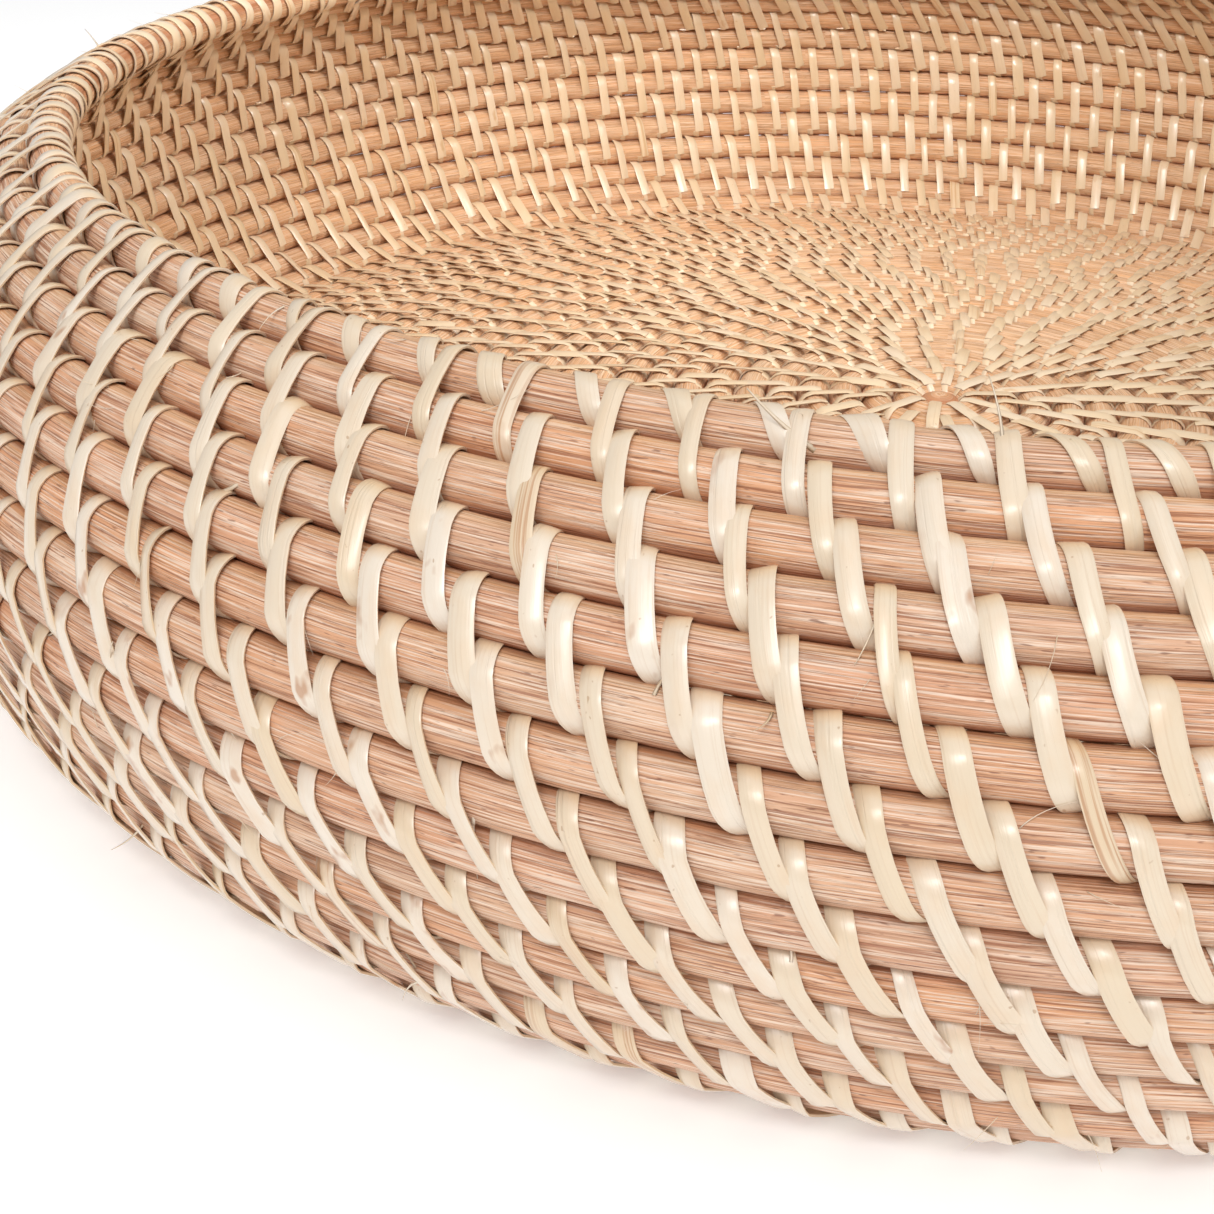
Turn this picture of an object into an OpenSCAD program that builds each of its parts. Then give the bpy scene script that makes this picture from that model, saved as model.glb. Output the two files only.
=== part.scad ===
/* [Basket] */
// Radius of the rim rod's centreline
rim_r = 183; // [160:1:220]
// Lean of the wall at the rim, in degrees; negative leans inward at the top
lean_rim = -62; // [-70:1:-40]
// Lean of the lower wall, in degrees; positive draws in towards the foot
lean_wall = 16; // [5:1:25]
// Course at which the lean has settled to the lower wall's
lean_end = 11; // [9:1:13]
// How far the middle of the base is domed up above the foot
base_rise = 14.5; // [0:0.5:20]

/* [Core rod] */
// Diameter of the round rattan core
rod_d = 6.4; // [5:0.1:7]

/* [Lashing] */
// Width of the rattan peel strips
strip_w = 3.0; // [2:0.1:3.2]
// Thickness of the strips, which also spaces the courses
strip_t = 0.7; // [0.5:0.1:0.9]
// Stitches round each course of the wall
stitches = 102; // [60:2:102]
// Step of the stitches round the basket from course to course, as a part of their pitch
stitch_step = 0.3; // [0.3:0.01:0.35]
// Stitches round the innermost courses of the base; doubled and redoubled further out
base_stitches = 8; // [4:4:8]

/* [Hidden] */
$fn = 96;
wall_courses = 13;
foot_courses = 3;
last = wall_courses + foot_courses;
core = [0.86, 0.70, 0.56];
peel = [0.94, 0.87, 0.75];
pitch = rod_d + strip_t;
rod_r = rod_d / 2;
wrap_r = rod_r + strip_t;

// Lean of the step from course k to course k + 1, in degrees from vertical
function ease(t) = let (u = min(max(t, 0), 1)) u * u * (3 - 2 * u);
function wall_lean(k) = lean_rim + (lean_wall - lean_rim) * ease((k - 0.5) / lean_end);
function foot_lean(k) = lean_wall + (90 - lean_wall) * (k - wall_courses + 1) / (foot_courses + 1);
function lean(k) = k < wall_courses ? wall_lean(k) : foot_lean(k);

// Centre of a course's rod: its radius, and its depth below the rim rod
function course_r(k) = k <= 1 ? rim_r : course_r(k - 1) - pitch * sin(lean(k - 1));
function course_drop(k) = k <= 1 ? 0 : course_drop(k - 1) + pitch * cos(lean(k - 1));
foot_r = course_r(last);
foot_drop = course_drop(last);
function course_z(k) = rod_r + foot_drop - course_drop(k);

// The base's courses run in from the last foot course to the centre over a shallow dome
base_courses = floor((foot_r - 1.4 * pitch) / pitch);
function base_r(j) = foot_r - j * pitch;
function base_z(j) = rod_r + base_rise * (1 - pow(base_r(j) / foot_r, 2));
function stitches_on(j) = base_stitches * (j <= outer_end ? 4 : j <= middle_end ? 2 : 1);
outer_end = floor(base_courses / 3);
middle_end = floor(base_courses * 2 / 3);

// One closed ring of core rod
module rod_ring(r, z) {
    translate([0, 0, z]) rotate_extrude() translate([r, 0]) circle(rod_r);
}

// How far a stitch runs down: to the middle of the next rod, but short of the surface under the last
function reach(k) = k < last - 1 ? pitch : 0.7 * pitch;

// One long stitch: a strip hooked over its own rod that runs down to the next one
module long_stitch(k) {
    translate([course_r(k), 0, course_z(k)]) rotate([0, lean(k), 0]) rotate([90, 0, 0])
        linear_extrude(height = strip_w, center = true) {
            intersection() {
                difference() {
                    circle(wrap_r);
                    circle(rod_r);
                }
                translate([-wrap_r, 0]) square([2 * wrap_r, wrap_r]);
            }
            translate([rod_r, -reach(k)]) square([strip_t, reach(k)]);
        }
}

// One strip bent over a single rod through a turn, centred on an angle with 90 upward
module short_wrap(r, z, middle, turn) {
    translate([r, 0, z]) rotate([90, 0, 0]) rotate([0, 0, middle - turn / 2])
        rotate_extrude(angle = turn) translate([rod_r, -strip_w / 2]) square([strip_t, strip_w]);
}

// The core rod of one course
module course_rod(k) {
    color(core) rod_ring(course_r(k), course_z(k));
}

// The long stitches of one course
module course_lashing(k) {
    color(peel) for (i = [0 : stitches - 1])
        rotate([0, 0, (i + k * stitch_step) * 360 / stitches]) long_stitch(k);
}

// The core rod of a run of base courses
module base_coil(j0, j1) {
    color(core) for (j = [j0 : j1]) rod_ring(base_r(j), base_z(j));
}

// The stitches on a run of base courses, staggered from one course to the next
module base_lashing(j0, j1) {
    color(peel) for (j = [j0 : j1])
        for (i = [0 : stitches_on(j) - 1])
            rotate([0, 0, i * 360 / stitches_on(j) + (j % 2) * 45 / base_stitches])
                if (j <= middle_end) short_wrap(base_r(j), base_z(j), 90, 250);
                else for (side = [90, 270]) short_wrap(base_r(j), base_z(j), side, 130);
}

module rim_rod() { course_rod(1); }
module wall_rod_02() { course_rod(2); }
module wall_rod_03() { course_rod(3); }
module wall_rod_04() { course_rod(4); }
module wall_rod_05() { course_rod(5); }
module wall_rod_06() { course_rod(6); }
module wall_rod_07() { course_rod(7); }
module wall_rod_08() { course_rod(8); }
module wall_rod_09() { course_rod(9); }
module wall_rod_10() { course_rod(10); }
module wall_rod_11() { course_rod(11); }
module wall_rod_12() { course_rod(12); }
module wall_rod_13() { course_rod(13); }
module foot_rod_14() { course_rod(14); }
module foot_rod_15() { course_rod(15); }
module foot_rod_16() { course_rod(16); }

module base_outer_coil() { base_coil(1, outer_end); }
module base_middle_coil() { base_coil(outer_end + 1, middle_end); }
module base_centre_coil() { base_coil(middle_end + 1, base_courses); }

// Plug of core that the first turn of the base closes round
module centre_start() {
    color(core) translate([0, 0, base_z(base_courses)])
        cylinder(r = base_r(base_courses) - wrap_r - 0.05, h = rod_d, center = true);
}

// Short wraps that dress the rim between its long stitches
module rim_short_wraps() {
    color(peel) for (i = [0 : stitches - 1])
        rotate([0, 0, (i + stitch_step - 0.36) * 360 / stitches])
            short_wrap(course_r(1), course_z(1), 0, 250);
}

module rim_lashing() { course_lashing(1); }
module wall_lashing_02() { course_lashing(2); }
module wall_lashing_03() { course_lashing(3); }
module wall_lashing_04() { course_lashing(4); }
module wall_lashing_05() { course_lashing(5); }
module wall_lashing_06() { course_lashing(6); }
module wall_lashing_07() { course_lashing(7); }
module wall_lashing_08() { course_lashing(8); }
module wall_lashing_09() { course_lashing(9); }
module wall_lashing_10() { course_lashing(10); }
module wall_lashing_11() { course_lashing(11); }
module wall_lashing_12() { course_lashing(12); }
module wall_lashing_13() { course_lashing(13); }
module foot_lashing_14() { course_lashing(14); }
module foot_lashing_15() { course_lashing(15); }
module base_outer_lashing() { base_lashing(1, outer_end); }
module base_middle_lashing() { base_lashing(outer_end + 1, middle_end); }
module base_centre_lashing() { base_lashing(middle_end + 1, base_courses); }

rim_rod();
wall_rod_02();
wall_rod_03();
wall_rod_04();
wall_rod_05();
wall_rod_06();
wall_rod_07();
wall_rod_08();
wall_rod_09();
wall_rod_10();
wall_rod_11();
wall_rod_12();
wall_rod_13();
foot_rod_14();
foot_rod_15();
foot_rod_16();
base_outer_coil();
base_middle_coil();
base_centre_coil();
centre_start();
rim_short_wraps();
rim_lashing();
wall_lashing_02();
wall_lashing_03();
wall_lashing_04();
wall_lashing_05();
wall_lashing_06();
wall_lashing_07();
wall_lashing_08();
wall_lashing_09();
wall_lashing_10();
wall_lashing_11();
wall_lashing_12();
wall_lashing_13();
foot_lashing_14();
foot_lashing_15();
base_outer_lashing();
base_middle_lashing();
base_centre_lashing();
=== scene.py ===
import math
import bpy
import numpy as np
from mathutils import Matrix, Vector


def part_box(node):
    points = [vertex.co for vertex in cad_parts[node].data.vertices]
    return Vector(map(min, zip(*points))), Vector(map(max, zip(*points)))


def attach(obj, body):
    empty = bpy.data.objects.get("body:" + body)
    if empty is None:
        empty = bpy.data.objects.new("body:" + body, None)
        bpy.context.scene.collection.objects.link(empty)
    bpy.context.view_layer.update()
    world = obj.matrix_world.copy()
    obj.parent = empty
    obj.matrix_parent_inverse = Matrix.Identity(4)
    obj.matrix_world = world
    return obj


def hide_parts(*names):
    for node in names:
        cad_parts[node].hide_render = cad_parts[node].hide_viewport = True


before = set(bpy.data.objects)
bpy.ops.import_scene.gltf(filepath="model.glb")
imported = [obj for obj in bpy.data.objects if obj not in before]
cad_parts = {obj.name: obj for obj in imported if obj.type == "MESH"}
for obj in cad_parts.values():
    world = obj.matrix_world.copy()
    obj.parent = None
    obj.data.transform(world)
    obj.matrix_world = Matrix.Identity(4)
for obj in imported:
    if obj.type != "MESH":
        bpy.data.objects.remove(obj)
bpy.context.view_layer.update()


# ---------------------------------------------------------------- layout from the frame
def nodes_named(start):
    """The CAD nodes whose names begin with start, from the top of the wall down."""
    return [n for n in sorted(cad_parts) if n.startswith(start)]


RODS = ["rim_rod"] + nodes_named("wall_rod_") + nodes_named("foot_rod_")


def ring_of(node):
    """Radius and height of the centreline of a CAD rod."""
    lo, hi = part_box(node)
    r = (hi[2] - lo[2]) / 2
    return (hi[0] - lo[0]) / 2 - r, (hi[2] + lo[2]) / 2


lo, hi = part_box("rim_rod")
ROD_R = (hi[2] - lo[2]) / 2
courses = [ring_of(n) for n in RODS]
N_WALL = len(courses)
PITCH = math.dist(courses[0], courses[1])
STRIP_T = PITCH - 2 * ROD_R
FOOT_R, FOOT_Z = courses[-1]
lo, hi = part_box("centre_start")
START_R = (hi[0] - lo[0]) / 2
start_z = (hi[2] + lo[2]) / 2
n_base = round((FOOT_R - START_R - ROD_R - STRIP_T) / PITCH)
rise = (start_z - FOOT_Z) / (1 - ((FOOT_R - n_base * PITCH) / FOOT_R) ** 2)
# the base turns lie on a shallow dome, and one turn more than the coils is the centre start
for j in range(1, n_base + 2):
    r = FOOT_R - j * PITCH
    courses.append((r, FOOT_Z + rise * (1 - (r / FOOT_R) ** 2)))
courses = np.array(courses)
N_ALL = len(courses)

STITCHES = 102            # long stitches round each wall course
BASE_STITCH_GAP = 0.0094  # metres between the stitches of a base course
THICK = STRIP_T * 0.68    # thickness that the strips show
ROD_LOOK = ROD_R + STRIP_T * 0.52  # rods just overlap, so that no light shows between them
RHO = ROD_LOOK + THICK * 0.42      # from a rod's axis to the middle of a strip on it
TURN = 2 * math.pi


def unit(v):
    return v / np.linalg.norm(v, axis=-1, keepdims=True)


# direction down the profile and outward normal at each course
above_rim = 2 * courses[0] - courses[1]
past_centre = [courses[-1][0] - PITCH, courses[-1][1]]
ext = np.vstack([above_rim, courses, past_centre])
down = unit(ext[2:] - ext[:-2])
outw = np.stack([-down[:, 1], down[:, 0]], -1)


# ---------------------------------------------------------------- mesh helpers
def grid_faces(n_len, n_sec, closed):
    """Quads of a tube of n_len rings of n_sec points, with each quad's ring and point steps."""
    i, j = np.meshgrid(np.arange(n_len if closed else n_len - 1), np.arange(n_sec), indexing="ij")
    i, j = i.reshape(-1), j.reshape(-1)
    ci = np.stack([i, i, i + 1, i + 1], -1)
    cj = np.stack([j, j + 1, j + 1, j], -1)
    return (ci % n_len) * n_sec + cj % n_sec, ci, cj


def make_piece(name, parts, material, node, sharp=None):
    """One object from parts of (vertices, quads, surface coordinates, identity).

    The surface coordinates are metres along and across a rod or strip. The identity is a pair
    of numbers from 0 to 1 that is the same all over one rod or strip.
    """
    base, faces = 0, []
    for v, f, _, _ in parts:
        faces.append(f + base)
        base += len(v)
    verts = np.concatenate([p[0] for p in parts]).astype(np.float32)
    faces = np.concatenate(faces).astype(np.int32)
    me = bpy.data.meshes.new(name)
    me.vertices.add(len(verts))
    me.vertices.foreach_set("co", verts.ravel())
    me.loops.add(faces.size)
    me.loops.foreach_set("vertex_index", faces.ravel())
    me.polygons.add(len(faces))
    me.polygons.foreach_set("loop_start", np.arange(0, faces.size, 4, dtype=np.int32))
    me.polygons.foreach_set("loop_total", np.full(len(faces), 4, dtype=np.int32))
    me.polygons.foreach_set("use_smooth", np.ones(len(faces), dtype=bool))
    me.update(calc_edges=True)
    for layer, col in (("along", 2), ("ident", 3)):
        data = np.concatenate([p[col].reshape(-1, 2) for p in parts]).astype(np.float32)
        me.uv_layers.new(name=layer).data.foreach_set("uv", data.ravel())
    me.uv_layers.active_index = 0
    if sharp is not None:
        me.set_sharp_from_angle(angle=math.radians(sharp))
    me.materials.append(material)
    ob = bpy.data.objects.new(name, me)
    bpy.context.scene.collection.objects.link(ob)
    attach(ob, "root")
    if node:
        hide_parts(node)


def polar(r, phi, z):
    """Points at radius r, height z and angle phi, which is 0 at the front and grows to the right."""
    return np.stack([r * np.sin(phi), -r * np.cos(phi), z], -1)


def wave(phi, seed, low, high, count=6):
    """A smooth closed random curve round the basket, about 1 high."""
    g = np.random.default_rng(seed)
    out = np.zeros_like(phi)
    for _ in range(count):
        out += g.normal() * np.sin(g.integers(low, high) * phi + g.uniform(0, 6.283))
    return out / math.sqrt(count)


def settle(z):
    """Presses what would lie below the floor flat just above it."""
    skin = 0.0006
    return np.where(z < skin, skin * np.exp((np.minimum(z, skin) - skin) / skin), z)


def ease(x):
    """0 up to x = 0, 1 from x = 1, and smooth between."""
    x = np.clip(x, 0, 1)
    return x * x * (3 - 2 * x)


# ---------------------------------------------------------------- stitch layout
def step_of(k):
    """How far round, in stitch pitches, the next course's stitch starts from this one's."""
    return min(0.30 + 0.024 * k, 0.54) if k < N_WALL - 1 else 0.5


WALL_TURN = TURN / STITCHES   # angle from one wall stitch to the next
START = 0.1022                # angle of the first stitch on the rim rod
BASE_STEP = 0.0618            # angle that the base stitches advance from course to course
phases = [START]
for k in range(1, N_ALL):
    phases.append(phases[-1] + step_of(k - 1) * WALL_TURN if k < N_WALL else k * BASE_STEP)


def seam_of(k):
    """The angle where a rod's surface starts: at the back, under a stitch."""
    return phases[k] + (STITCHES // 2 + 0.12) * WALL_TURN if k < N_WALL else math.pi


# ---------------------------------------------------------------- core rods
ROD_RING_GAP = 0.0024  # metres between the rings of points along a rod
ROD_DRIFT = 0.00006    # how far a rod strays from its course


def rod_part(k, n_sec=18):
    """One course of round core, slightly uneven, with its surface measured from its outer face."""
    r, z = courses[k]
    n_len = max(40, int(TURN * r / ROD_RING_GAP))
    phi = seam_of(k) + np.arange(n_len) * TURN / n_len
    face = math.atan2(outw[k][1], outw[k][0])
    ph, al = np.meshgrid(phi, face + np.arange(n_sec) * TURN / n_sec, indexing="ij")
    high = min(60, max(9, int(r * 300)))  # most waves round the course
    rad = ROD_LOOK * (1 + 0.010 * wave(phi, 100 + k, 5, high))[:, None]
    rad = rad * (1 + 0.012 * np.sin(3 * al + 2 * wave(phi, 700 + k, 1, 6)[:, None]))
    rr = r + ROD_DRIFT * wave(phi, 300 + k, 3, high)[:, None] + rad * np.cos(al)
    zz = z + ROD_DRIFT * wave(phi, 500 + k, 3, high)[:, None] + rad * np.sin(al)
    verts = polar(rr, ph, settle(zz)).reshape(-1, 3)
    faces, ci, cj = grid_faces(n_len, n_sec, True)
    uv = np.stack([ci * (TURN * r / n_len), cj * (TURN * ROD_LOOK / n_sec)], -1)[:, ::-1]
    ident = np.empty(uv.shape)
    ident[..., 0] = (k * 0.37 + 0.11) % 1.0
    ident[..., 1] = (k * 0.23) % 1.0
    return verts, faces[:, ::-1], uv, ident


# ---------------------------------------------------------------- peel strips
# cross-sections of a strip, in parts of its width and thickness: low crowned top, flat back
SEC8 = np.array([(-0.5, 0.10), (-0.41, 0.41), (0.0, 0.5), (0.41, 0.41),
                 (0.5, 0.10), (0.46, -0.45), (0.0, -0.5), (-0.46, -0.45)])
SEC6 = np.array([(-0.5, 0.0), (-0.28, 0.42), (0.28, 0.42), (0.5, 0.0), (0.4, -0.5), (-0.4, -0.5)])
# quads that close a strip's end
END8 = np.array([(0, 1, 2, 7), (2, 3, 6, 7), (3, 4, 5, 6)])
END6 = np.array([(0, 1, 2, 5), (2, 3, 4, 5)])


def many(one, count, size):
    """The quads of count copies of a mesh of size points."""
    return (one[None] + (np.arange(count) * size)[:, None, None]).reshape(-1, 4)


def strips(path, seed, phi0, pitch, width, sec=SEC8, wob=0.025, spread=0.11, roll=0.10):
    """Closed strips along one profile path, one at each angle of phi0.

    A path holds points and normals in the profile, and at each point how far round the basket
    the strip has moved in stitch pitches, its width as a part of the full width, how far it is
    lifted off the rod, and how much it is turned about its own length. wob, spread and roll
    are how much the strips differ in slant, width and turn.
    """
    pts, nor, frac, wide, lift, twist = path
    g = np.random.default_rng(seed)
    n, m, ns = len(phi0), len(pts), len(sec)
    t = np.linspace(0, 1, m)[None]

    def rnd(s):
        return g.normal(0, s, (n, 1))

    def ripple(lo, hi):
        return np.sin(TURN * (t * g.uniform(lo, hi, (n, 1)) + g.uniform(0, 1, (n, 1))))

    sway = rnd(wob) * np.sin(math.pi * t) + rnd(wob * 0.6) * np.sin(TURN * t)
    phi = phi0[:, None] + (frac[None] + sway) * pitch
    off = np.abs(rnd(0.00005)) + lift[None] * g.uniform(0.7, 1.35, (n, 1))
    p = polar(pts[None, :, 0] + off * nor[None, :, 0], phi, pts[None, :, 1] + off * nor[None, :, 1])
    nrm = polar(np.broadcast_to(nor[:, 0], phi.shape), phi, np.broadcast_to(nor[:, 1], phi.shape))
    tan = unit(np.gradient(p, axis=1))
    side = unit(np.cross(tan, nrm))
    nrm = unit(np.cross(side, tan))
    ang = twist[None] + rnd(roll) + 0.7 * roll * ripple(0.6, 1.6)
    c, s = np.cos(ang)[..., None], np.sin(ang)[..., None]
    side, nrm = side * c + nrm * s, nrm * c - side * s
    w = width * (1 + rnd(spread)).clip(0.74, 1.24) * wide[None]
    w = w * (1 + 0.05 * ripple(0.5, 2))
    sx = sec[:, 0]
    sh = sec[:, 1] + (rnd(0.10)[..., None]) * (sx * sx * 4 - 0.5)
    across = (sx * w[..., None])[..., None]
    up = (sh * THICK * np.sqrt(wide)[None, :, None])[..., None]
    verts = (p[:, :, None] + side[:, :, None] * across + nrm[:, :, None] * up).reshape(-1, 3)
    verts[:, 2] = settle(verts[:, 2])
    f, ci, cj = grid_faces(m, ns, False)
    cap = END8 if ns == 8 else END6
    one = np.concatenate([f, cap[:, ::-1], cap + (m - 1) * ns])
    steps = np.linalg.norm(np.diff(p, axis=1), axis=-1)
    length = np.concatenate([np.zeros((n, 1)), np.cumsum(steps, 1)], 1)
    girth = np.concatenate([[0], np.cumsum(np.abs(np.diff(np.append(sx, sx[0]))))]) * width
    ui = np.concatenate([ci, np.zeros_like(cap), np.full_like(cap, m - 1)])
    uj = np.concatenate([cj, cap[:, ::-1], cap])
    u = length[:, ui]
    uv = np.stack([u, np.broadcast_to(girth[uj], u.shape)], -1)
    ident = np.broadcast_to(g.uniform(0, 1, (n, 2))[:, None, None, :], (n, len(one), 4, 2))
    return verts, many(one, n, m * ns), uv.reshape(-1, 4, 2), ident.reshape(-1, 4, 2)


def around(k, a):
    """Points round rod k at angles a in degrees: 0 outward, 90 back up the wall."""
    a = np.radians(np.asarray(a, float))
    d = np.cos(a)[:, None] * outw[k] - np.sin(a)[:, None] * down[k]
    return courses[k] + RHO * d, d


def long_path(k, fine=True):
    """A long stitch: up the inside, over its own rod, across the next rod and under it."""
    late = ease((k - 2) / 6.5)  # the lower courses' stitches slant more
    slope = 0.17 + 0.35 * late - (0.09 if k == 0 else 0.0)
    bend = 0.22 + 0.15 * late - (0.06 if k == 0 else 0.0)
    ahead = 0.06  # where on its way the strip crosses its own starting angle
    begin = -ahead * slope + ahead ** 2 * bend
    tail = (1 - ahead) * slope + (1 - ahead) ** 2 * bend
    top = np.linspace(172, 0, 14 if fine else 8)
    low = np.linspace(0, -98, 9 if fine else 4)
    # the rod and the angles round it of each stretch
    segs = [(k + 1, [-152, -178]), (k, top), (k + 1, low), (k + 1, [-126, -152])]
    pts, nor, row, ang = [], [], [], []
    for n, (kk, a) in enumerate(segs):
        p, d = around(kk, a)
        pts.append(p)
        nor.append(d)
        row.append(np.full(len(p), n))
        ang.append(np.asarray(a, float))
        if n == 1:  # the bridge from this rod to the next
            s = np.linspace(0, 1, 5 if fine else 3)[1:-1, None]
            q, e = around(k + 1, [0])
            pts.append(p[-1] * (1 - s) + q[0] * s)
            nor.append(unit(d[-1] * (1 - s) + e[0] * s))
            row.append(np.full(len(s), 4))
            ang.append(s[:, 0])
    pts, nor, row, ang = map(np.concatenate, (pts, nor, row, ang))
    arc = np.concatenate([[0], np.cumsum(np.linalg.norm(np.diff(pts, axis=0), axis=1))])
    i0 = np.argmin(np.where(row == 1, np.abs(ang - 78), 999))  # where it comes into view
    i1 = np.where(row == 2)[0][-1]                             # where it goes out of view
    u = (arc - arc[i0]) / (arc[i1] - arc[i0])
    back = (arc[i0] - arc) / arc[i0]
    v = np.clip(u, 0, 1)
    hidden = begin + (tail - 1 - begin) * np.clip(back, 0, 1) ** 1.15
    frac = np.where(u >= 0, slope * (v - ahead) + bend * (v - ahead) ** 2, hidden)
    frac = np.where(u > 1, tail + (u - 1) * 0.3, frac) + 0.04 * ease((v - 0.60) / 0.40)
    wide = np.where(u < 0, 0.94, 1.0 - (0.10 + 0.24 * late) * ease((v - 0.62) / 0.38))
    bulge = 0.00026 * np.sin(math.pi * np.clip((v - 0.02) / 0.8, 0, 1)) ** 2
    tuck = (0.00006 + 0.00017 * late) * ease((v - 0.72) / 0.28)
    lift = np.where((u > 0) & (u < 1), bulge, 0.0) - tuck
    lift = np.where(u < 0, 0.0001 * np.sin(math.pi * np.clip(back, 0, 1)), lift)
    twist = -0.08 + 0.26 * ease((v - 0.45) / 0.5)
    return pts, nor, frac, wide, lift, twist


def short_path():
    """A short wrap: once round the rim rod, slanting into the foot of the long stitch."""
    a = np.linspace(212, -150, 30)
    p, d = around(0, a)
    frac = -0.49 + 0.40 * (53 - a) / 130
    frac = np.where(a > 90, -0.604 - 0.03 * ease((a - 90) / 110), frac)
    wide = 1.0 - 0.3 * ease((-35 - a) / 60)
    lift = 0.00010 * ease((150 - a) / 60) - 0.00022 * ease((-40 - a) / 50)
    return p, d, frac, wide, lift, np.full(len(a), -0.06)


def width_of(k):
    """Width of the strips on course k, in metres."""
    return 0.0026 if k == 0 else 0.0027 if k == 1 or k >= N_WALL - 1 else 0.0029


def lashing_part(k):
    """The long stitches that bind course k to the next."""
    fine = k < N_WALL - 1
    n = STITCHES if fine else max(7, int(round(TURN * courses[k][0] / BASE_STITCH_GAP)))
    pitch = TURN / n
    phi0 = phases[k] + (np.arange(n) + np.random.default_rng(1000 + k).normal(0, 0.03, n)) * pitch
    return strips(long_path(k, fine), 2000 + k, phi0, pitch, width_of(k), SEC8 if fine else SEC6)


# ---------------------------------------------------------------- materials
def new_material(name):
    """A material with one Principled shader, its node tree and the shader."""
    m = bpy.data.materials.new(name)
    m.use_nodes = True
    nt = m.node_tree
    nt.nodes.clear()
    out = nt.nodes.new("ShaderNodeOutputMaterial")
    bsdf = nt.nodes.new("ShaderNodeBsdfPrincipled")
    nt.links.new(bsdf.outputs[0], out.inputs[0])
    return m, nt, bsdf


# the inside found from this point gets painted warm bounce light in both materials
ABOVE_BOWL = (0.0, 0.0, 0.16)  # the surfaces that face this point are the inside


class Net:
    """Short names for building a node tree.

    In the materials, the numbers that multiply u and v are the marks to the metre along and
    across a rod or strip. A ramp's limits say how common a mark is, and the number that
    multiplies it says how strong.
    """

    def __init__(self, nt):
        self.nt = nt

    def new(self, kind, **kw):
        n = self.nt.nodes.new(kind)
        for k, v in kw.items():
            setattr(n, k, v)
        return n

    def put(self, sock, v):
        if isinstance(v, bpy.types.NodeSocket):
            self.nt.links.new(v, sock)
        else:
            sock.default_value = v

    def math(self, op, a, b=0.0):
        n = self.new("ShaderNodeMath", operation=op)
        self.put(n.inputs[0], a)
        self.put(n.inputs[1], b)
        return n.outputs[0]

    def mul(self, a, b):
        return self.math("MULTIPLY", a, b)

    def add(self, a, b):
        return self.math("ADD", a, b)

    def mix(self, f, a, b):
        n = self.new("ShaderNodeMix", data_type="RGBA")
        self.put(n.inputs[0], f)
        self.put(n.inputs[6], a)
        self.put(n.inputs[7], b)
        return n.outputs[2]

    def ramp(self, f, lo, hi):
        """0 up to lo, 1 from hi, and straight between."""
        n = self.new("ShaderNodeMapRange", clamp=True)
        self.put(n.inputs[0], f)
        n.inputs[1].default_value = lo
        n.inputs[2].default_value = hi
        return n.outputs[0]

    def noise(self, x, y, z, detail=2.0, rough=0.5):
        """Noise about 0.5, with one cell to each unit of x, y and z."""
        c = self.new("ShaderNodeCombineXYZ")
        for s, v in zip(c.inputs, (x, y, z)):
            self.put(s, v)
        n = self.new("ShaderNodeTexNoise", noise_dimensions="3D")
        self.put(n.inputs["Vector"], c.outputs[0])
        n.inputs["Scale"].default_value = 1.0
        n.inputs["Detail"].default_value = detail
        n.inputs["Roughness"].default_value = rough
        return n.outputs[0]

    def inside(self):
        """1 on surfaces that face into the bowl, 0 on those that face out of it. Both materials use
        it to paint warm bounce light on the inside.
        """
        g = self.new("ShaderNodeNewGeometry")
        d = self.new("ShaderNodeVectorMath", operation="SUBTRACT")
        self.put(d.inputs[0], g.outputs["Position"])
        d.inputs[1].default_value = ABOVE_BOWL
        e = self.new("ShaderNodeVectorMath", operation="DOT_PRODUCT")
        self.put(e.inputs[0], d.outputs[0])
        self.put(e.inputs[1], g.outputs["Normal"])
        return self.ramp(self.mul(e.outputs["Value"], -1.0), -0.01, 0.10)

    def bump(self, bsdf, height, strength, distance):
        n = self.new("ShaderNodeBump")
        n.inputs["Strength"].default_value = strength
        n.inputs["Distance"].default_value = distance
        self.put(n.inputs["Height"], height)
        self.put(bsdf.inputs["Normal"], n.outputs[0])

    def uv(self, name):
        n = self.new("ShaderNodeUVMap", uv_map=name)
        s = self.new("ShaderNodeSeparateXYZ")
        self.put(s.inputs[0], n.outputs[0])
        return s.outputs[0], s.outputs[1]


def rgb(r, g, b):
    return (r, g, b, 1.0)


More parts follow.
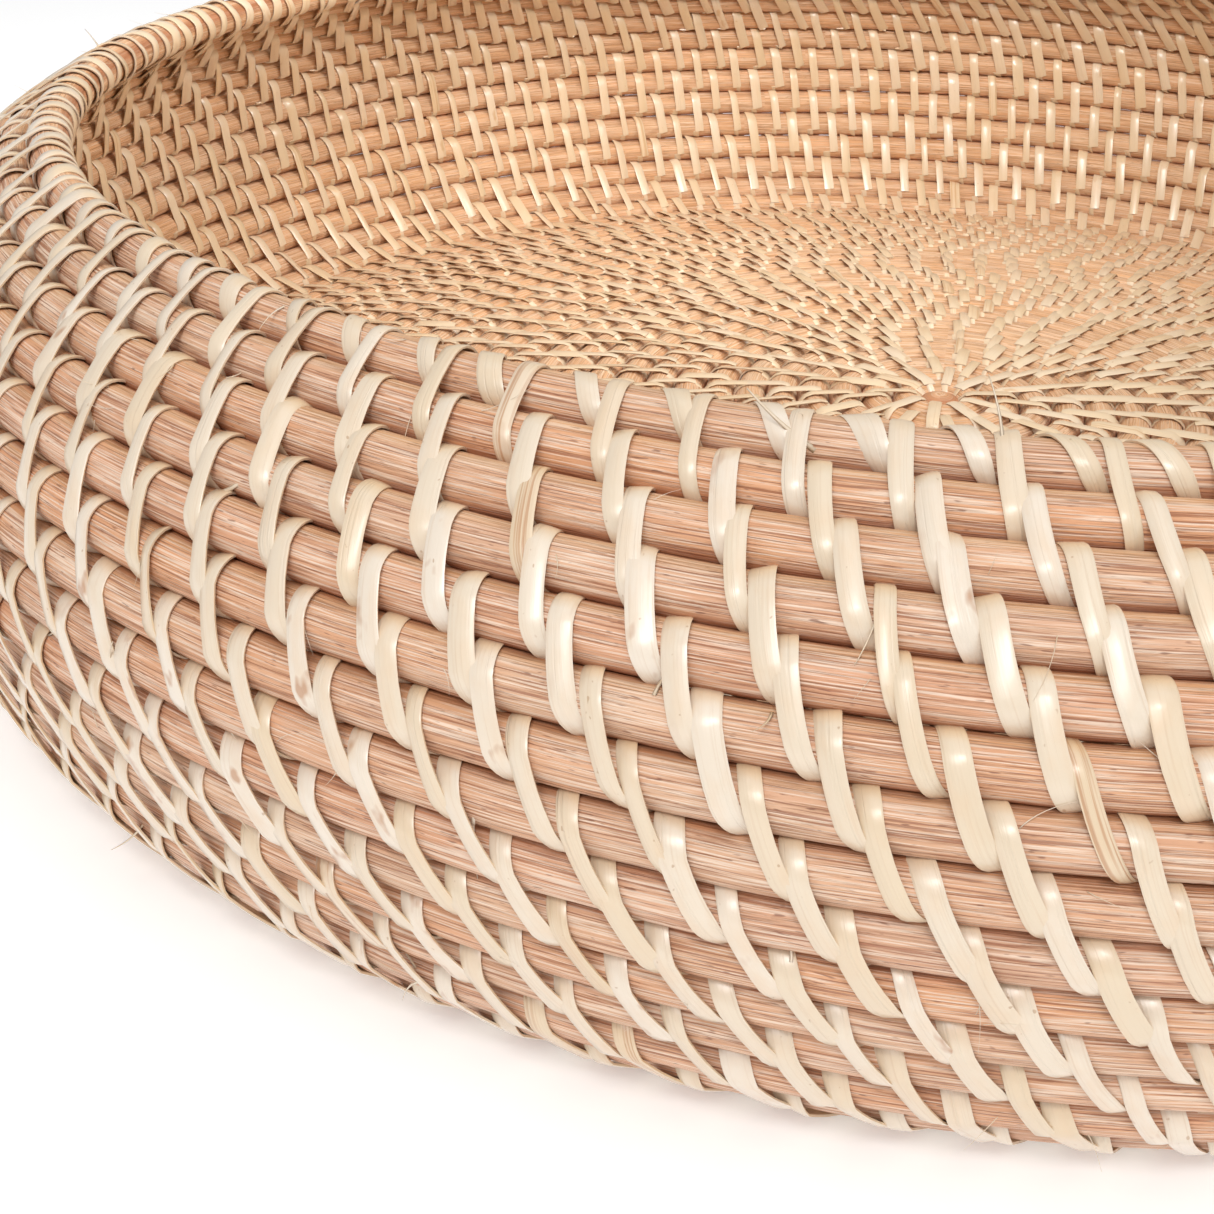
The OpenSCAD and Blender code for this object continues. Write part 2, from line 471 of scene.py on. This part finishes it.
def core_material():
    """Round rattan core: matt, pinkish tan, with fine fibre lines along it, painted shade in the
    grooves between courses and painted warm bounce light on the inside.
    """
    m, nt, bsdf = new_material("rattan_core_look")
    k = Net(nt)
    u, v = k.uv("along")
    i0, i1 = k.uv("ident")
    z = k.mul(i0, 53.0)
    pale = k.noise(k.mul(u, 70.0), k.mul(v, 4300.0), z, 3.0, 0.62)
    dark = k.noise(k.mul(u, 60.0), k.mul(v, 3700.0), k.add(z, 9.0), 3.0, 0.62)
    broad = k.noise(k.mul(u, 22.0), k.mul(v, 160.0), k.add(z, 21.0), 3.0, 0.5)
    pore = k.noise(k.mul(u, 420.0), k.mul(v, 2600.0), k.add(z, 33.0), 1.0)
    hue = k.noise(k.mul(u, 11.0), z, 4.0, 1.0)
    tone = k.mix(k.ramp(hue, 0.35, 0.65), rgb(0.73, 0.37, 0.195), rgb(0.70, 0.43, 0.275))
    tone = k.mix(k.mul(k.ramp(i1, 0.5, 1.0), 0.5), tone, rgb(0.66, 0.37, 0.25))
    tone = k.mix(k.mul(k.ramp(broad, 0.42, 0.75), 0.60), tone, rgb(0.62, 0.27, 0.135))
    tone = k.mix(k.mul(k.ramp(pale, 0.48, 0.58), 0.70), tone, rgb(0.88, 0.725, 0.585))
    tone = k.mix(k.mul(k.ramp(dark, 0.54, 0.61), 0.80), tone, rgb(0.38, 0.14, 0.065))
    tone = k.mix(k.mul(k.ramp(pore, 0.68, 0.76), 0.7), tone, rgb(0.24, 0.09, 0.05))
    # painted warm bounce light: rod faces that look into the bowl are tinted golden orange
    tone = k.mix(k.mul(k.inside(), 0.40), tone, rgb(0.80, 0.47, 0.20))
    # painted shade: each rod darkens to red-brown towards its sides that meet the courses above and
    # below, where the grooves between rods lie in shade
    groove = k.math("ABSOLUTE", k.math("SINE", k.mul(v, 1 / ROD_LOOK)))
    tone = k.mix(k.mul(k.ramp(groove, 0.82, 1.0), 0.72), tone, rgb(0.40, 0.12, 0.04))
    k.put(bsdf.inputs["Base Color"], tone)
    k.put(bsdf.inputs["Roughness"], k.add(k.mul(pale, 0.3), 0.36))
    fibres = k.math("SUBTRACT", k.mul(pale, 0.8), k.mul(k.ramp(dark, 0.48, 0.68), 0.7))
    k.bump(bsdf, fibres, 0.7, 0.0003)
    return m


def peel_material():
    """Rattan peel: cream to honey, satin, with fine lines, creases and a few brown stains, and
    painted warm bounce light on the inside.
    """
    m, nt, bsdf = new_material("rattan_peel_look")
    k = Net(nt)
    u, v = k.uv("along")
    i0, i1 = k.uv("ident")
    z0 = k.mul(i0, 97.0)
    z1 = k.mul(i1, 61.0)
    fine = k.noise(k.mul(u, 60.0), k.mul(v, 3400.0), z0, 2.0, 0.55)
    line = k.noise(k.mul(u, 26.0), k.mul(v, 1500.0), k.add(z0, 3.0), 2.0, 0.5)
    cloud = k.noise(k.mul(u, 150.0), k.mul(v, 320.0), z1, 3.0, 0.55)
    speck = k.noise(k.mul(u, 900.0), k.mul(v, 1100.0), k.add(z1, 7.0), 1.0)
    tone = k.mix(i0, rgb(0.705, 0.57, 0.405), rgb(0.765, 0.665, 0.55))
    tone = k.mix(k.mul(k.ramp(i1, 0.7, 1.0), 0.5), tone, rgb(0.70, 0.53, 0.34))
    tone = k.mix(k.mul(k.ramp(cloud, 0.45, 0.75), 0.40), tone, rgb(0.72, 0.495, 0.30))
    tone = k.mix(k.mul(k.ramp(fine, 0.55, 0.75), 0.35), tone, rgb(0.60, 0.42, 0.27))
    worn = k.mul(k.ramp(i1, 0.95, 0.97), k.ramp(line, 0.50, 0.60))
    tone = k.mix(k.mul(worn, 0.8), tone, rgb(0.50, 0.26, 0.13))
    spot = k.noise(k.mul(u, 190.0), k.mul(v, 330.0), k.add(z0, 5.0), 2.0)
    stain = k.mul(k.ramp(spot, 0.60, 0.70), k.ramp(i0, 0.84, 0.92))
    tone = k.mix(k.mul(stain, 0.75), tone, rgb(0.45, 0.21, 0.09))
    tone = k.mix(k.mul(k.ramp(speck, 0.75, 0.80), 0.6), tone, rgb(0.42, 0.24, 0.12))
    # painted warm bounce light: strip faces that look into the bowl are tinted golden
    tone = k.mix(k.mul(k.inside(), 0.45), tone, rgb(0.80, 0.56, 0.29))
    k.put(bsdf.inputs["Base Color"], tone)
    k.put(bsdf.inputs["Roughness"], k.add(k.mul(cloud, 0.30), 0.20))
    bsdf.inputs["Coat Weight"].default_value = 0.8
    bsdf.inputs["Coat Roughness"].default_value = 0.27
    grain = k.add(k.mul(fine, 0.6), k.mul(cloud, 0.9))
    k.bump(bsdf, k.math("SUBTRACT", grain, k.mul(k.ramp(line, 0.60, 0.68), 0.7)), 0.45, 0.0002)
    return m


CORE = core_material()
PEEL = peel_material()

# ---------------------------------------------------------------- the basket
SHARP = 40            # edges of the strips sharper than this, in degrees, stay crisp
BASE_SEC = 14         # points round a base rod
WRAP_WIDTH = 0.00275  # width of the short wraps, in metres

for k, node in enumerate(RODS):
    make_piece("look_" + node, [rod_part(k)], CORE, node)
    if k < N_WALL - 1:
        lash = "rim_lashing" if k == 0 else node.replace("_rod_", "_lashing_")
        make_piece("look_" + lash, [lashing_part(k)], PEEL, lash, SHARP)

runs = {"outer": range(N_WALL, N_WALL + n_base // 3),
        "middle": range(N_WALL + n_base // 3, N_WALL + n_base * 2 // 3),
        "centre": range(N_WALL + n_base * 2 // 3, N_WALL + n_base)}
for part, ks in runs.items():
    coil = "base_%s_coil" % part
    make_piece("look_" + coil, [rod_part(k, BASE_SEC) for k in ks], CORE, coil)
    rows = ([N_WALL - 1] if part == "outer" else []) + list(ks)
    lash = "base_%s_lashing" % part
    stitched = [lashing_part(k) for k in rows]
    make_piece("look_" + lash, stitched, PEEL, lash, SHARP)

jitter = np.random.default_rng(55).normal(0, 0.035, STITCHES)
phi0 = START + (np.arange(STITCHES) + jitter) * WALL_TURN
wraps = strips(short_path(), 77, phi0, WALL_TURN, WRAP_WIDTH)
make_piece("look_rim_short_wraps", [wraps], PEEL, "rim_short_wraps", SHARP)


def start_knob():
    """The tight little turn that the base is started on."""
    r0, z0 = courses[-1]
    n, a = 24, np.radians(np.linspace(-88, 88, 9))
    rad = np.cos(a) * (r0 - ROD_LOOK * 0.55)
    hgt = z0 + ROD_LOOK * 0.95 * np.sin(a)
    ph, q = np.meshgrid(np.arange(n) * TURN / n, np.arange(len(a)), indexing="ij")
    verts = polar(rad[q], ph, hgt[q]).reshape(-1, 3)
    m = len(a)
    f, ci, cj = grid_faces(n, m, True)
    keep = (cj < m).all(1)
    f, ci, cj = f[keep], ci[keep], cj[keep]
    caps = []
    for ring in (0, m - 1):
        ids = [i * m + ring for i in range(n)]
        for i in range(1, n // 2):
            quad = [ids[i - 1], ids[i], ids[n - 1 - i], ids[(n - i) % n]]
            caps.append(quad[::-1] if ring == 0 else quad)
    faces = np.concatenate([f[:, ::-1], np.array(caps)])
    uv = np.zeros((len(faces), 4, 2))
    uv[:len(f)] = np.stack([ci * 0.0007, cj * 0.001], -1)[:, ::-1]
    return verts, faces, uv, np.full(uv.shape, 0.31)


centre = [rod_part(N_ALL - 1, BASE_SEC), start_knob()]
make_piece("look_centre_start", centre, CORE, "centre_start")


def loose_bits(seed, count, length, width, flat, low=3, stand=0.45):
    """Fine fibres and split slivers that have sprung from the strips' edges.

    flat is the thickness as a part of the width, low keeps them off the lowest courses, and
    stand is how far they stand up, as a part of their length.
    """
    g = np.random.default_rng(seed)
    m = 8  # rings of points along one
    s = np.linspace(0, 1, m)
    k = g.integers(0, N_WALL - low, count)
    phi = g.uniform(0, TURN, count)
    ang = np.radians(g.uniform(-50, 60, count))
    base = courses[k]
    d = np.cos(ang)[:, None] * outw[k] - np.sin(ang)[:, None] * down[k]
    along = -np.sin(ang)[:, None] * outw[k] - np.cos(ang)[:, None] * down[k]
    root = base + (RHO + THICK * 0.35) * d
    p0 = polar(root[:, 0], phi, root[:, 1])
    out = polar(d[:, 0], phi, d[:, 1])
    upw = polar(along[:, 0], phi, along[:, 1])
    sideways = np.cross(out, upw)
    th = g.uniform(-1.2, 1.2, count) + np.where(g.uniform(0, 1, count) < 0.5, 0, math.pi)
    fwd = upw * np.cos(th)[:, None] + sideways * np.sin(th)[:, None]
    sid = np.cross(fwd, out)
    size = g.uniform(0.35, 1.0, count) * length
    bend = g.normal(0, 0.35, count)
    curl = g.uniform(0.05, stand, count)
    shape = fwd[:, None] * s[None, :, None]
    shape = shape + sid[:, None] * (bend[:, None] * s * s)[..., None]
    shape = shape + out[:, None] * (curl[:, None] * s ** 1.5 - 0.04)[..., None]
    p = p0[:, None] + size[:, None, None] * shape
    w = width * g.uniform(0.6, 1.2, (count, 1)) * (1 - 0.75 * s)[None]
    h = w * flat
    quad = np.array([(-0.5, 0), (0, 0.5), (0.5, 0), (0, -0.5)])
    across = sid[:, None, None] * (quad[:, 0] * w[..., None])[..., None]
    up = out[:, None, None] * (quad[:, 1] * h[..., None])[..., None]
    verts = (p[:, :, None] + across + up).reshape(-1, 3)
    verts[:, 2] = settle(verts[:, 2])
    f, ci, cj = grid_faces(m, 4, False)
    end = np.array([(0, 1, 2, 3)])
    one = np.concatenate([f, end[:, ::-1], end + (m - 1) * 4])
    uv = np.zeros((count, len(one), 4, 2))
    uv[:, :len(f), :, 0] = ci * length / m
    uv[:, :len(f), :, 1] = cj * width / 4
    ident = np.broadcast_to(g.uniform(0, 0.8, (count, 2))[:, None, None, :], uv.shape)
    return verts, many(one, count, m * 4), uv.reshape(-1, 4, 2), ident.reshape(-1, 4, 2)


fibres = loose_bits(91, 420, 0.0075, 0.00013, 1.0)
slivers = loose_bits(92, 90, 0.008, 0.00045, 0.3)
long_slivers = loose_bits(93, 26, 0.014, 0.0007, 0.3, 8, 0.16)
make_piece("look_loose_fibres", [fibres, slivers, long_slivers], PEEL, None)


# ---------------------------------------------------------------- floor, light, camera
m, nt, bsdf = new_material("floor_look")
bsdf.inputs["Base Color"].default_value = rgb(0.96, 0.96, 0.96)
bsdf.inputs["Emission Color"].default_value = rgb(1.0, 1.0, 1.0)
bsdf.inputs["Emission Strength"].default_value = 0.2
bsdf.inputs["Roughness"].default_value = 0.9
FLOOR_SIZE, FLOOR_Z = 30, -0.0003
bpy.ops.mesh.primitive_plane_add(size=FLOOR_SIZE, location=(0, 0, FLOOR_Z))
floor = bpy.context.object
floor.name = "floor"
floor.data.materials.append(m)

world = bpy.data.worlds.new("studio")
bpy.context.scene.world = world
world.use_nodes = True
bg = world.node_tree.nodes["Background"]
bg.inputs["Color"].default_value = rgb(1.0, 1.0, 1.0)
bg.inputs["Strength"].default_value = 0.56
bpy.context.scene.view_settings.view_transform = "Standard"


def placed(name, data, loc, x, y, z):
    """A new object at loc whose own axes point along x, y and z."""
    ob = bpy.data.objects.new(name, data)
    bpy.context.scene.collection.objects.link(ob)
    ob.matrix_world = Matrix([[x[i], y[i], z[i], loc[i]] for i in range(3)] + [[0, 0, 0, 1]])
    return ob


def softbox(name, loc, target, size, power, spread=180):
    """A square light of size metres and power watts at loc, facing target."""
    li = bpy.data.lights.new(name, "AREA")
    li.shape = "SQUARE"
    li.size = size
    li.energy = power
    li.spread = math.radians(spread)
    z = unit(np.array(loc) - np.array(target))
    x = unit(np.cross([0, 0, 1.0], z))
    placed(name, li, loc, x, np.cross(z, x), z).visible_camera = False


# over the near wall and the whole scene
softbox("key", (-0.20, -1.05, 0.95), (0, -0.15, 0.05), 0.42, 3.9)
softbox("top", (0.05, -0.10, 1.30), (0, 0, 0), 1.2, 3.5)
softbox("fill", (1.10, -0.70, 0.50), (0, -0.1, 0.05), 0.9, 1.5)
softbox("front", (0.10, -0.88, 1.05), (0, -0.19, 0.06), 0.20, 3.4)
# two small narrowed ones that reach into the bowl
softbox("bowl_back", (0.02, -0.22, 0.31), (-0.05, 0.22, 0.10), 0.14, 0.17, 62)
softbox("bowl_side", (0.22, -0.05, 0.33), (-0.19, 0.03, 0.09), 0.14, 0.15, 62)

# the camera's place in units of the radius at the groove under the rim rod, and its angles
UNIT = (courses[0][0] + courses[1][0]) / 2
SEAM_Z = (courses[0][1] + courses[1][1]) / 2
DIST, HEIGHT, YAW, TILT, ROLL = 1.937, 0.4347, -0.2071, 0.5192, 0.0193
fwd = np.array([math.sin(YAW) * math.cos(TILT), math.cos(YAW) * math.cos(TILT), -math.sin(TILT)])
right = unit(np.cross(fwd, [0, 0, 1.0]))
up = np.cross(right, fwd)
c, s = math.cos(ROLL), math.sin(ROLL)
right, up = c * right + s * up, c * up - s * right
place = (0.0, -DIST * UNIT, SEAM_Z + HEIGHT * UNIT)
cam = bpy.data.cameras.new("camera")
cam.sensor_width = 36.0
cam.lens = 49.82
cam.clip_start = 0.005
bpy.context.scene.camera = placed("camera", cam, place, right, up, -fwd)
